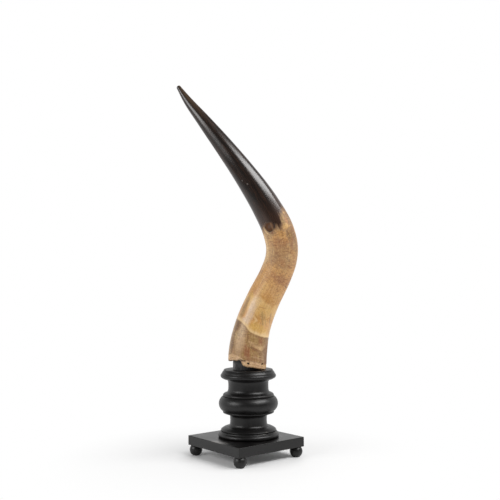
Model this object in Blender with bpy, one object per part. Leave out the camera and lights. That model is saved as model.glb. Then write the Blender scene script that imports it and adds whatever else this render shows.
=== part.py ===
# Polished ox horn standing on a turned and blackened wooden stand.
# Metres, +Z up, ground at z = 0, the whole thing's box centred on the Z axis.
import bpy
import bmesh
import numpy as np
from math import atan2, ceil, cos, pi, radians, sin, sqrt
from mathutils import Matrix, Vector

# Gap left between two pieces that touch
GAP = 0.0003

# Square board with a ball foot under each corner
PLATE_SIDE = 0.130
PLATE_BOTTOM = 0.0158
PLATE_TOP = 0.0307
PLATE_EDGE = 0.0006
PLATE_CENTRE = Vector((-0.0077, 0.0117, 0))
FOOT_RADIUS = 0.010
FOOT_MIDDLE = 0.0087
FOOT_INSET = 0.0089
FOOT_CORNERS = {"front": (1, -1), "left": (-1, -1), "right": (1, 1), "back": (-1, 1)}

# Turned column, set a little off the board's centre
COLUMN_OFFSET = Vector((0.0028, 0.0037, 0))
COLUMN_AXIS = PLATE_CENTRE + COLUMN_OFFSET
COLUMN_BOTTOM = PLATE_TOP + GAP
CAP_TOP = 0.1356
CAP_RADIUS = 0.0379
# Its mouldings from the board up: the lower and upper (radius, height), and how far
# the arc between them stands out, less than 0 for a hollow and 0 for a straight face
MOULDINGS = (
    ((0.0466, COLUMN_BOTTOM), (0.0445, 0.0404), 0.0024),  # base ring
    ((0.0418, 0.0404), (0.0418, 0.0413), 0),  # groove over it
    ((0.0434, 0.0416), (0.0375, 0.0471), 0.0015),  # low flare
    ((0.0322, 0.0480), (0.0308, 0.0628), -0.0026),  # low neck
    ((0.0364, 0.0659), (0.0402, 0.0673), 0),  # fillet under the bulb
    ((0.0413, 0.0690), (0.0414, 0.0702), 0),  # its upright edge
    ((0.0414, 0.0702), (0.0423, 0.0943), 0.0057),  # bulb
    ((0.0400, 0.0951), (0.0409, 0.0961), 0),  # groove over the bulb
    ((0.0409, 0.0961), (0.0400, 0.0988), 0),  # fillet over it
    ((0.0352, 0.1002), (0.0346, 0.1188), -0.0032),  # high neck
    ((0.0424, 0.1227), (0.0441, 0.1242), 0),  # underside of the cap
    ((0.0442, 0.1252), (0.0384, 0.1342), 0.0010),  # rounded edge of the cap
)
ARC_STEP = 0.0032
COLUMN_SIDES = 40

# Tapered peg on the cap, inside the mouth of the horn
PEG_SHIFT = Vector((-0.0008, 0, 0))
PEG_BOTTOM = CAP_TOP + GAP
PEG_SHOULDER = 0.153
PEG_TOP = 0.172
PEG_RADIUS = 0.0235
PEG_TOP_RADIUS = 0.0205
PEG_SIDES = 24

# Horn, in its own axes: X towards its bend, -Y towards the side it leans to.
# Each station is a height, the centre's X and Y there, and the radius.
HORN_TURN = radians(50.65)
HORN_STATIONS = (
    (0.1360, -0.0020, 0.0003, 0.0307),
    (0.1658, 0.0000, -0.0003, 0.0302),
    (0.2050, 0.0081, -0.0027, 0.0282),
    (0.2450, 0.0241, -0.0080, 0.0264),
    (0.2850, 0.0442, -0.0152, 0.0252),
    (0.3060, 0.0519, -0.0197, 0.0250),
    (0.3260, 0.0541, -0.0240, 0.0250),
    (0.3510, 0.0490, -0.0292, 0.0245),
    (0.3890, 0.0303, -0.0348, 0.0225),
    (0.4470, -0.0077, -0.0382, 0.0179),
    (0.4870, -0.0370, -0.0349, 0.0144),
    (0.5290, -0.0689, -0.0262, 0.0105),
    (0.5640, -0.0949, -0.0155, 0.0066),
    (0.5880, -0.1103, -0.0080, 0.0032),
)
HORN_TIP_ROUNDING = 0.0028
HORN_RINGS = 44
HORN_SIDES = 32

# The mouth is cut on a slant, so its far side from the bend stands off the cap
RIM_MIDDLE = 0.0064
RIM_SLANT = 0.145
RIM_BLEND = 0.060
# Hollow of the horn, as distances up from the mouth and radii
HOLLOW = ((0.0, 0.0257), (0.035, 0.0252), (0.048, 0.0232), (0.058, 0.0175), (0.064, 0.0090),
          (0.066, 0.0))

SHARP_ANGLE = radians(35)


def clear_scene():
    for old in list(bpy.data.objects):
        bpy.data.objects.remove(old, do_unlink=True)


def material(name, colour, roughness):
    made = bpy.data.materials.new(name)
    made.use_nodes = True
    shader = made.node_tree.nodes["Principled BSDF"]
    shader.inputs["Base Color"].default_value = (*colour, 1)
    shader.inputs["Roughness"].default_value = roughness
    shader.inputs["Metallic"].default_value = 0
    return made


def add_object(name, bm, surface, place=Matrix.Identity(4)):
    bmesh.ops.recalc_face_normals(bm, faces=bm.faces)
    mesh = bpy.data.meshes.new(name)
    bm.to_mesh(mesh)
    bm.free()
    mesh.shade_smooth()
    mesh.set_sharp_from_angle(angle=SHARP_ANGLE)
    mesh.materials.append(surface)
    made = bpy.data.objects.new(name, mesh)
    made.matrix_world = place
    bpy.context.scene.collection.objects.link(made)
    return made


def spun(profile, sides):
    """Solid of revolution about Z from (radius, height) points that start and end on the axis."""
    bm = bmesh.new()
    points = [bm.verts.new((radius, 0, height)) for radius, height in profile]
    edges = [bm.edges.new(pair) for pair in zip(points, points[1:])]
    bmesh.ops.spin(bm, geom=points + edges, cent=(0, 0, 0), axis=(0, 0, 1), angle=2 * pi,
                   steps=sides, use_merge=True)
    bmesh.ops.remove_doubles(bm, verts=bm.verts, dist=0.00001)
    return bm


def bow(start, end, bulge, steps):
    """Points of an arc from start to end that stands out to the right of its chord by the bulge."""
    start = Vector(start)
    end = Vector(end)
    chord = end - start
    half = chord.length / 2
    radius = (half * half + bulge * bulge) / (2 * bulge)
    right = Vector((chord.y, -chord.x)).normalized()
    centre = (start + end) / 2 + right * (bulge - radius)
    first = atan2(start.y - centre.y, start.x - centre.x)
    last = atan2(end.y - centre.y, end.x - centre.x)
    turn = (last - first + pi) % (2 * pi) - pi
    angles = [first + turn * step / steps for step in range(steps + 1)]
    reach = abs(radius)
    return [(centre.x + reach * cos(angle), centre.y + reach * sin(angle)) for angle in angles]


def base_plate():
    bm = bmesh.new()
    bmesh.ops.create_cube(bm, size=1)
    height = PLATE_TOP - PLATE_BOTTOM
    bmesh.ops.scale(bm, vec=(PLATE_SIDE, PLATE_SIDE, height), verts=bm.verts)
    bmesh.ops.bevel(bm, geom=bm.edges, affect="EDGES", offset=PLATE_EDGE, segments=2, profile=0.5)
    place = Matrix.Translation(PLATE_CENTRE + Vector((0, 0, PLATE_BOTTOM + height / 2)))
    add_object("base_plate", bm, material("base_plate", (0.030, 0.028, 0.028), 0.35), place)


def feet():
    paint = material("foot", (0.020, 0.020, 0.021), 0.3)
    top = PLATE_BOTTOM - GAP
    low_flat = sqrt(FOOT_RADIUS ** 2 - FOOT_MIDDLE ** 2)
    high_flat = sqrt(FOOT_RADIUS ** 2 - (top - FOOT_MIDDLE) ** 2)
    waist = (FOOT_RADIUS, FOOT_MIDDLE)
    lower = bow((low_flat, 0), waist, arc_bulge((low_flat, 0), waist, FOOT_RADIUS), 4)
    upper = bow(waist, (high_flat, top), arc_bulge(waist, (high_flat, top), FOOT_RADIUS), 3)
    profile = [(0, 0)] + lower + upper[1:] + [(0, top)]
    reach = PLATE_SIDE / 2 - FOOT_INSET
    for corner, (side_x, side_y) in FOOT_CORNERS.items():
        spot = PLATE_CENTRE + Vector((side_x * reach, side_y * reach, 0))
        add_object("foot_" + corner, spun(profile, 16), paint, Matrix.Translation(spot))


def arc_bulge(start, end, radius):
    """How far an arc of this radius stands out from the chord between two points."""
    half = (Vector(end) - Vector(start)).length / 2
    return radius - sqrt(radius ** 2 - half ** 2)


def column_profile():
    """(radius, height) points of the turned column, from the board up to the cap."""
    profile = [(0, COLUMN_BOTTOM)]
    for low, high, bulge in MOULDINGS:
        if bulge:
            steps = ceil((Vector(high) - Vector(low)).length / ARC_STEP)
            profile += bow(low, high, bulge, steps)
        else:
            profile += [low, high]
    return profile + [(CAP_RADIUS, CAP_TOP), (0, CAP_TOP)]


def turned_column():
    surface = material("turned_column", (0.022, 0.022, 0.023), 0.32)
    add_object("turned_column", spun(column_profile(), COLUMN_SIDES), surface,
               Matrix.Translation(COLUMN_AXIS))


def horn_axes():
    """Turn from the horn's own axes to the board's, on the column's axis."""
    return Matrix.Translation(COLUMN_AXIS) @ Matrix.Rotation(HORN_TURN, 4, "Z")


def horn_peg():
    profile = [(0, PEG_BOTTOM), (PEG_RADIUS, PEG_BOTTOM), (PEG_RADIUS, PEG_SHOULDER),
               (PEG_TOP_RADIUS, PEG_TOP), (0, PEG_TOP)]
    surface = material("horn_peg", (0.05, 0.047, 0.045), 0.75)
    add_object("horn_peg", spun(profile, PEG_SIDES), surface,
               horn_axes() @ Matrix.Translation(PEG_SHIFT))


def through_stations(column, heights):
    """Smooth curve through one column of the horn's stations, read at the heights."""
    stations = np.array(HORN_STATIONS)
    known = stations[:, 0]
    values = stations[:, column]
    slopes = np.gradient(values, known)
    left = np.clip(np.searchsorted(known, heights) - 1, 0, len(known) - 2)
    step = known[left + 1] - known[left]
    part = (heights - known[left]) / step
    ahead = part * part * (3 - 2 * part)
    pull = part * (1 - part) * step * (slopes[left] * (1 - part) - slopes[left + 1] * part)
    return values[left] * (1 - ahead) + values[left + 1] * ahead + pull


class Centreline:
    """The horn's curved middle line, with lengths measured up it from the mouth."""

    def __init__(self):
        heights = np.linspace(HORN_STATIONS[0][0], HORN_STATIONS[-1][0], 400)
        self.points = np.column_stack([through_stations(1, heights),
                                       through_stations(2, heights), heights])
        self.radii = through_stations(3, heights)
        steps = np.linalg.norm(np.diff(self.points, axis=0), axis=1)
        self.lengths = np.concatenate([[0], np.cumsum(steps)])
        self.tangents = np.gradient(self.points, self.lengths, axis=0)
        self.length = self.lengths[-1]

    def read(self, table, length):
        return Vector([np.interp(length, self.lengths, table[:, axis]) for axis in range(3)])

    def radius(self, length):
        return float(np.interp(length, self.lengths, self.radii))

    def bend(self, point):
        """Move a point of the straight horn to its place on the curved one."""
        lean = Vector((0, 0, 1)).rotation_difference(self.read(self.tangents, point.z))
        return self.read(self.points, point.z) + lean @ Vector((point.x, point.y, 0))


def horn_profile(line):
    """(radius, length) points of the straight horn: up the hollow, over the rim, to the tip."""
    inside = [(radius, length) for length, radius in reversed(HOLLOW)]
    neck = line.length - HORN_TIP_ROUNDING
    lengths = np.linspace(0, neck, HORN_RINGS)
    outside = [(line.radius(length), float(length)) for length in lengths]
    wide = line.radius(neck)
    quarter = [radians(angle) for angle in (30, 60)]
    tip = [(wide * cos(angle), neck + HORN_TIP_ROUNDING * sin(angle)) for angle in quarter]
    return inside + outside + tip + [(0, line.length)]


def slant_rim(point):
    """Lift the mouth to its slanting cut, fading out further up the horn."""
    fade = max(0, 1 - point.z / RIM_BLEND)
    return Vector((point.x, point.y, point.z + fade * (RIM_MIDDLE - RIM_SLANT * point.x)))


def horn():
    line = Centreline()
    bm = spun(horn_profile(line), HORN_SIDES)
    for vert in bm.verts:
        vert.co = line.bend(slant_rim(vert.co))
    add_object("horn", bm, material("horn", (0.16, 0.09, 0.035), 0.22), horn_axes())


def main():
    clear_scene()
    base_plate()
    feet()
    turned_column()
    horn_peg()
    horn()


main()
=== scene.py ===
"""Looks of a polished ox horn on a turned and blackened stand, laid out as a Blender add-on."""

import bmesh
import bpy
import numpy as np
from math import atan2, ceil, cos, pi, radians, sin, sqrt
from mathutils import Matrix, Vector, noise


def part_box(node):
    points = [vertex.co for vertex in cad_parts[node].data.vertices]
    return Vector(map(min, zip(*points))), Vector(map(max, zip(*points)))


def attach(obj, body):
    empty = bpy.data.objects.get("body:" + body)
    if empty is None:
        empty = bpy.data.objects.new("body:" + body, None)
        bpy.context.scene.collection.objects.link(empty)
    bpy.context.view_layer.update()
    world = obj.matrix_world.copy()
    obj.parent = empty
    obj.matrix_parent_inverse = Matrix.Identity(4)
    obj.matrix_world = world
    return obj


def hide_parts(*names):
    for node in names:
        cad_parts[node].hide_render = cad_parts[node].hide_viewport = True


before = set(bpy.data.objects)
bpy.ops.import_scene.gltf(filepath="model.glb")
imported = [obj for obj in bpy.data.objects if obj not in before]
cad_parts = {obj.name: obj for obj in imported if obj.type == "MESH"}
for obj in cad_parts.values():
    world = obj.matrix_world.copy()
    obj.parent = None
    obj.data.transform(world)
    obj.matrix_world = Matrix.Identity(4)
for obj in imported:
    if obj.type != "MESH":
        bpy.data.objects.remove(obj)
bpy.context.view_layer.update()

bl_info = {
    "name": "Mounted ox horn",
    "version": (1, 0, 0),
    "blender": (4, 5, 0),
    "location": "3D View > Sidebar > Ox Horn",
    "description": "Builds a polished ox horn on a turned black stand, with its studio",
    "category": "Object",
}

ROOT = "root"
# Width in mm of one degree round the horn
DEGREE_WIDTH = 0.45


def spot(node):
    """Place on the ground under the middle of a node of the frame."""
    low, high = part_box(node)
    return Matrix.Translation((*((low + high) / 2).xy, 0))


# Places taken from the frame
PLATE_LOW, PLATE_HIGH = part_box("base_plate")
COLUMN_LOW, COLUMN_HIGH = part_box("turned_column")
FOOT_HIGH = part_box("foot_front")[1]
PLATE_CENTRE = (PLATE_LOW + PLATE_HIGH) / 2
COLUMN_SPOT = spot("turned_column")
CAP_TOP = COLUMN_HIGH.z

# Horn, in its own axes: X towards its bend, -Y towards the viewer.
# Each station is a height in mm, the centre's X and Y there, and the radius.
HORN_TURN = radians(50.65)
HORN_AXES = COLUMN_SPOT @ Matrix.Rotation(HORN_TURN, 4, "Z")
HORN_STATIONS = np.array((
    (136, -2, 0.3, 30.7), (165.8, 0, -0.3, 30.2), (205, 8.1, -2.7, 28.2), (245, 24.1, -8, 26.4),
    (285, 44.2, -15.2, 25.2), (306, 51.9, -19.7, 25), (326, 54.1, -24, 25), (351, 49, -29.2, 24.5),
    (389, 30.3, -34.8, 22.5), (447, -7.7, -38.2, 17.9), (487, -37, -34.9, 14.4),
    (529, -68.9, -26.2, 10.5), (564, -94.9, -15.5, 6.6), (588, -110.3, -8, 3.2),
)) / 1000
HORN_SIDES = 184
# Spacing of the rings along the horn, by the distance from the mouth where it starts
RING_STEPS = ((0.0, 0.0008), (0.030, 0.0012), (0.060, 0.0016))
HOLLOW = ((0.0, 0.0257), (0.035, 0.0252), (0.048, 0.0232), (0.058, 0.0175), (0.064, 0.0090),
          (0.066, 0.0))
HOLLOW_STEP = 0.002
# Shares of the wall's width where its cut face has points
WALL_SHARES = (0.02, 0.2, 0.4, 0.6, 0.8)
RIM_SLANT = 0.145
RIM_BLEND = 0.060
CHIP_BLEND = 0.026

# Broken lower edge of the horn: degrees round from the viewer, less than 0 to the left,
# and how far in mm the edge stands above the slanting cut
RIM_EDGE = (
    (-180, 0.6), (-165, 1.2), (-150, 0.4), (-138, 1.9), (-126, 0.8), (-112, 1.6), (-100, 1.0),
    (-90, 1.3), (-76, 1.5), (-68, 2.2), (-60, 4.0), (-53, 5.7), (-49, 5.0), (-45, 6.3),
    (-36, 6.4), (-30, 7.5), (-25, 8.8), (-21, 8.6), (-18, 6.2), (-15, 2.6), (-11, 0.7),
    (0, -0.3), (8, 0.2), (16, 0.1), (22, 0.5), (30, -0.3), (44, -0.2), (52, -0.8), (62, -0.4),
    (70, -0.6), (78, 0.3), (88, 0.8), (100, 0.3), (115, -0.3), (128, 0.7), (140, 0.1),
    (152, 1.4), (166, 0.3), (180, 0.6),
)
# Height in mm of the flaked band above that edge, by degrees round
FLAKED_BAND = (
    (-180, 7.0), (-140, 9.0), (-100, 9.0), (-75, 12.0), (-50, 12.0), (-30, 9.0), (-22, 6.0),
    (-14, 9.8), (0, 11.4), (20, 10.8), (40, 9.8), (60, 8.6), (80, 7.4), (110, 8.0), (150, 6.0),
    (180, 7.0),
)
FLAKE_DEPTH = 0.00038
# Nail holes through the flaked band: degrees round, mm above the slanting cut, radius in mm
NAIL_HOLES = ((3, 6.3, 1.8), (51, 7.9, 1.8), (-128, 8.0, 1.5))
NAIL_DEPTH = 0.0022
HOLE_FADE = 0.5
# Round a hole the mesh is cut finer within these distances, down to this depth
DRILL_REACHES = (0.0042, 0.0030)
DRILL_DEPTH = 0.0015
# The wall's outside ends this deep and fades over this much, and its inside edge is higher
OUTER_DEPTH, OUTER_FADE, INNER_LIFT = 0.0045, 0.0040, 0.0006
BAND_FADE = 0.0007
LIP_HEIGHT, LIP_INSET = 0.0014, 0.0007
RINGS_END = 0.15
# Noises that shape the horn: scale per mm across it and along it, seed, and size in metres
WANDERS = {
    "ragged": ((0.9, 0.25), 3.1, 0.00045), "band": ((0.45, 0.10), 7.7, 0.0011),
    "lumps": ((0.55, 0.28), 1.3, 0.00022), "grit": ((1.5, 0.6), 9.4, 0.00012),
    "waver": ((0.06, 0.022), 5.5, 1), "rings": ((0.006, 0.16), 2.2, 0.00010),
}

# Ground colours up the pale horn, by mm from the mouth
GROUND_BANDS = (
    (62, "cream"), (69, "gold"), (80, "honey"), (91, "ochre"), (100, "gold"), (111, "gold"),
    (120, "ochre"), (132, "honey"), (147, "honey"), (158, "rose"), (168, "honey"), (180, "tan"),
    (196, "tan"), (206, "tan"), (216, "rose"), (227, "honey"), (236, "ash"),
)
# Stains: degrees round from the viewer, mm from the mouth, half the width in degrees,
# half the height in mm, colour and strength
LOW_STAINS = (
    # The first two stains paint the left lamp's highlight as a pale strip near the mouth
    (-30, 44, 17, 30, "putty", 0.9), (-33, 50, 9, 22, "wheat", 0.45), (-52, 50, 15, 6, "sage", 0.8),
    (-36, 58, 9, 5, "sage", 0.5), (-57, 68, 12, 8, "moss", 0.9), (-59, 34, 11, 9, "moss", 0.85),
    (-62, 52, 5, 5, "moss", 0.6), (-54, 21, 10, 4, "rust", 0.45), (-4, 28, 12, 9, "rust", 0.65),
    (2, 24, 5, 11, "rust", 0.62), (13, 29, 9, 7, "olive", 0.5), (22, 33, 12, 4, "rust", 0.55),
    (42, 27, 10, 9, "moss", 0.6), (50, 22, 16, 11, "umber", 0.45), (68, 26, 14, 18, "umber", 0.75),
    (70, 52, 12, 9, "umber", 0.55), (-62, 38, 9, 30, "moss", 0.75), (-56, 66, 9, 8, "umber", 0.7),
    (-58, 32, 9, 9, "umber", 0.55), (13, 53, 17, 6, "olive", 0.7), (36, 53, 8, 6, "rust", 0.75),
    (53, 53, 11, 6, "moss", 0.7), (38, 38, 10, 5, "wheat", 0.85), (60, 42, 10, 4, "putty", 0.7),
    (18, 17, 30, 3, "bark", 0.6), (100, 40, 30, 16, "moss", 0.5), (150, 30, 24, 10, "rust", 0.6),
    (-110, 36, 22, 14, "olive", 0.6), (-150, 52, 20, 9, "putty", 0.7),
)
PALE_STAINS = (
    # The first two stains paint the left lamp's highlight as a pale band
    (-24, 92, 12, 26, "painted_highlight", 0.8), (-34, 77, 18, 5, "painted_highlight", 0.7),
    (-56, 94, 10, 18, "olive", 0.85), (-60, 98, 8, 12, "bark", 0.5),
    (-53, 115, 12, 5, "mustard", 0.85), (-51, 126, 11, 7, "ochre", 0.9),
    (-46, 124, 6, 6, "rust", 0.4), (8, 92, 10, 5, "olive", 0.5), (24, 90, 6, 6, "olive", 0.45),
    (10, 118, 20, 4, "ochre", 0.6), (22, 72, 6, 10, "ochre", 0.55), (-16, 113, 13, 7, "cream", 0.6),
    (4, 74, 15, 7, "mustard", 0.75), (30, 70, 16, 6, "mustard", 0.6), (13, 86, 12, 8, "ochre", 0.8),
    (24, 85, 7, 6, "ochre", 0.7), (34, 84, 10, 5, "gold", 0.7), (20, 104, 22, 6, "mustard", 0.4),
    (12, 119, 17, 4, "ochre", 0.8), (-44, 150, 15, 23, "ochre", 0.9),
    (-20, 133, 9, 13, "gold", 0.6), (42, 132, 10, 9, "gold", 0.6), (-60, 206, 12, 32, "wheat", 0.9),
    (-40, 208, 8, 26, "wheat", 0.45), (17, 159, 22, 6, "rose", 0.7), (4, 184, 13, 7, "rose", 0.6),
    (-24, 190, 10, 8, "ash", 0.4), (20, 192, 16, 6, "wheat", 0.4), (52, 170, 12, 12, "honey", 0.6),
    (-15, 214, 14, 7, "rose", 0.7), (24, 211, 9, 4, "wheat", 0.55), (44, 222, 20, 9, "moss", 0.85),
    (26, 225, 6, 4, "umber", 0.55), (60, 221, 14, 14, "umber", 0.7), (64, 205, 9, 10, "ash", 0.7),
    (44, 210, 12, 7, "ash", 0.8), (58, 204, 10, 12, "moss", 0.55), (42, 216, 5, 3, "rust", 0.7),
    (4, 227, 12, 5, "ochre", 0.6), (-52, 228, 9, 6, "ash", 0.4), (38, 234, 15, 3, "gold", 0.7),
    (27, 245, 9, 8, "olive", 0.85), (34, 250, 6, 5, "mustard", 0.7), (44, 243, 8, 6, "rose", 0.9),
    (51, 254, 7, 3, "gold", 0.7), (36, 250, 13, 7, "moss", 0.6), (74, 246, 16, 16, "umber", 0.7),
    (-70, 200, 9, 45, "cream", 0.8), (66, 66, 12, 8, "ochre", 0.5),
    (100, 110, 26, 22, "ochre", 0.5), (150, 90, 30, 14, "cream", 0.5),
    (-120, 130, 24, 30, "tan", 0.6), (130, 190, 30, 24, "wheat", 0.6),
    (-160, 210, 26, 18, "rose", 0.6),
)
DARK_STAINS = (
    (-33, 323, 2.6, 1.1, "scuff_and_sheen", 0.7), (-20, 317, 3, 0.9, "scuff_and_sheen", 0.5),
)
# Thin marks: degrees round and mm up of both ends, half the width in mm, colour and strength
STROKES = (
    (-22, 55, -3, 58, 0.7, "umber", 0.55), (-9, 56, -6, 44, 0.7, "umber", 0.5),
    (2, 34, 3, 16, 1, "rust", 0.42), (-6, 32, -8, 20, 0.9, "rust", 0.45),
    (14, 19.5, 52, 16, 0.7, "putty", 0.6), (12, 15.5, 60, 13.5, 0.6, "umber", 0.35),
    (30, 23, 58, 20, 0.6, "putty", 0.35), (-56, 53, -38, 47, 1, "wheat", 0.5),
    (-50, 44, -34, 40, 0.8, "wheat", 0.35), (-60, 36, -44, 33, 0.7, "umber", 0.3),
    (26, 97, 9, 105, 0.8, "ochre", 0.45), (0, 97, 12, 84, 1.2, "ochre", 0.55),
    (12, 98, 28, 80, 1.4, "olive", 0.6), (20, 97, 38, 82, 1, "olive", 0.45),
    (48, 101, 68, 64, 0.9, "putty", 0.6), (40, 135, 50, 118, 0.7, "rust", 0.35),
    (-4, 105, 16, 107, 0.7, "rose", 0.5), (44, 101, 54, 85, 0.7, "ash", 0.5),
    (-10, 88, 4, 83, 1.5, "cream", 0.5), (-2, 79, 4, 84, 1.2, "cream", 0.4),
    (52, 151, 64, 148.5, 0.8, "umber", 0.8), (48, 155, 58, 154, 0.6, "rust", 0.6),
    (50, 146, 62, 143.5, 0.6, "rust", 0.5), (-35, 216, -40, 192, 0.6, "ash", 0.55),
    (-40, 192, -33, 174, 0.6, "ash", 0.45), (-12, 216.5, 8, 221, 0.7, "rust", 0.5),
    (0, 208, 22, 204, 0.6, "ash", 0.45), (28, 205, 50, 201, 0.7, "ash", 0.55),
    (8, 193, 30, 188, 0.7, "ash", 0.5), (24, 181, 46, 178.5, 0.7, "rust", 0.5),
    (-10, 180, 12, 176, 0.6, "ash", 0.4), (10, 157, 32, 154, 0.7, "rust", 0.5),
    (26, 229, 60, 232, 0.9, "ash", 0.6), (26, 230, 28, 207, 0.9, "ash", 0.5),
    (-57, 247, -48, 235, 1.4, "cream", 0.6), (-48, 235, -38, 231.5, 0.9, "cream", 0.45),
)
RIM_STROKES = (
    (-24, 11.5, -8, 10, 0.7, "umber", 0.8), (20, 6, 40, 5, 0.6, "bark", 0.6),
    (58, 9.5, 66, 7.5, 0.8, "rust", 0.6), (-60, 8, -50, 10.5, 0.7, "umber", 0.5),
    # The next three strokes paint the shadow along the rim's lower left edge
    (-92, 2, -64, 4, 0.8, "black", 0.85), (-64, 4.2, -46, 6.6, 0.7, "umber", 0.85),
    (-46, 6.9, -28, 8.4, 0.7, "black", 0.75), (-28, 9, -7, 9.9, 0.9, "black", 0.9),
    # The last two strokes paint a thin shadow along the front of the lower edge
    (-20, 7.4, -12, 9.4, 0.8, "umber", 0.8), (-10, 1.6, 20, 1, 0.5, "umber", 0.5),
    (20, 1.2, 58, 0.6, 0.5, "bark", 0.7),
)
KNOT_STROKES = (
    (-18, 237.5, -18.5, 247.5, 1.3, "ash", 0.45),
)

# Column mouldings from the board up, in mm: the lower radius and height, the upper ones, and
# how far the arc between them stands out, less than 0 for a hollow and 0 for a straight face
MOULDINGS = (
    (46.6, COLUMN_LOW.z * 1000, 45.2, 38, 2.1),  # base roll
    (44.7, 38.5, 44, 40.1, 0.3),  # bead over it
    (41.8, 40.5, 41.8, 41.2, 0),  # groove
    (43.4, 41.5, 43.4, 42.2, 0),  # edge of the low flare
    (43.2, 42.4, 34.6, 46.5, 0.6),  # low flare
    (34.6, 46.5, 29.3, 51.2, -1.4),  # hollow over it
    (28.9, 56, 29.1, 62.2, 0),  # low neck
    (29.1, 62.2, 35.2, 66.8, -1.4),  # hollow under the bulb
    (39.4, 67.9, 40.2, 68.4, 0),  # underside of its fillet
    (40.4, 68.9, 40.4, 70, 0),  # upright edge of that fillet
    (39.8, 70.5, 41, 93.8, 6.4),  # bulb
    (38.7, 94.1, 38.7, 94.8, 0),  # groove over the bulb
    (40.4, 95.1, 40.3, 96.3, 0),  # fillet over it
    (40.1, 96.7, 35.2, 99.3, 0.5),  # high flare
    (35.2, 99.3, 31.9, 105.4, -0.9),  # hollow over it
    (31.7, 110, 31.9, 115.8, 0),  # high neck
    (31.9, 115.8, 38.4, 120.6, -1.6),  # hollow under the cap
    (42.2, 122.6, 42.7, 128.7, 1.5),  # roll of the cap
    (41.8, 129.1, 41.6, 129.9, 0),  # groove over it
    (42, 130.3, 39.8, 133.3, 0),  # slope over it
    (38.6, 133.7, 38.4, 134.3, 0),  # groove under the cap's edge
    (39, 134.6, 38.8, 135.4, 0),  # the edge
)
CAP_RADIUS = 0.0382
# Longest straight piece of a moulding's arc, and the sides of the turned pieces
ARC_STEP = 0.0006
COLUMN_SIDES = 160
FOOT_SIDES = 72
FOOT_RINGS = 36
# Cuts beside each edge of the board, by their distance from its faces
BOARD_CUTS = (0.0013, 0.0026)

# Whittled peg: the height where it starts to narrow, its rings and sides, the places of its
# cuts in degrees round, how they twist with height, and half the angle of a facet
PEG_TAPER_START = 0.153
PEG_RINGS = 46
PEG_SIDES = 120
PEG_CUTS = (0, 31, 55, 88, 120, 149, 181, 214, 240, 275, 303, 333)
PEG_TWIST = 260
PEG_FACET = radians(16)
# Mesh nearer to the axis than the core stays; shares of the radius cut by facets and knife
PEG_CORE, PEG_CUT, PEG_KNIFE = 0.005, 0.035, 0.018

# Knot in front: degrees round, mm from the mouth, and half its width and height
KNOT_DEGREES, KNOT_UP, KNOT_WIDE, KNOT_TALL = -28, 243, 19, 7.4
# Ways to the viewer's left and towards the viewer, and the pale patch along them that paints a
# sheen on the board's top
VIEW_LEFT = (-cos(HORN_TURN), -sin(HORN_TURN), 0)
VIEW_FRONT = (sin(HORN_TURN), -cos(HORN_TURN), 0)
SHEEN_LEFT, SHEEN_FRONT, SHEEN_WIDE, SHEEN_DEEP = 0.047, 0.037, 0.022, 0.014
# Grain of the stained wood, by its noise scale along the grain and across it
GRAIN_ALONG, GRAIN_ACROSS = 22, 420
HORN_IOR, STAIN_IOR, PEG_IOR = 1.54, 1.43, 1.5
STAIN_LABELS = ("Middle", "Height", "Wide", "Tall")
STROKE_LABELS = ("Left", "Low", "Right", "High", "Wide")

# Softboxes: degrees round from the viewer, degrees up, distance, width and height
SOFTBOXES = {"left": (-61, 17.5, 2.2, 1.40, 0.96), "right": (64, 43, 1.8, 1.60, 0.76)}
SOFTBOX_AIM = Vector((0, 0, 0.42))
SENSOR_WIDTH = 36
FLOOR_SIDES = 96
WHITE = (1, 1, 1, 1)


def paint(code):
    """Linear red, green and blue of a colour written as six hex digits."""
    parts = [int(code[place:place + 2], 16) / 255 for place in (0, 2, 4)]
    return tuple(part / 12.92 if part <= 0.04045 else ((part + 0.055) / 1.055) ** 2.4
                 for part in parts)


def length_value(name, default, description):
    return bpy.props.FloatProperty(name=name, description=description, default=default,
                                   unit="LENGTH", precision=5)


def angle_value(name, default, description):
    return bpy.props.FloatProperty(name=name, description=description, default=default,
                                   subtype="ANGLE")


def strength_value(name, default, description):
    return bpy.props.FloatProperty(name=name, description=description, default=default, min=0)


def colour_value(name, code, description):
    return bpy.props.FloatVectorProperty(name=name, description=description, default=paint(code),
                                         subtype="COLOR", size=3, min=0, max=1)


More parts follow.
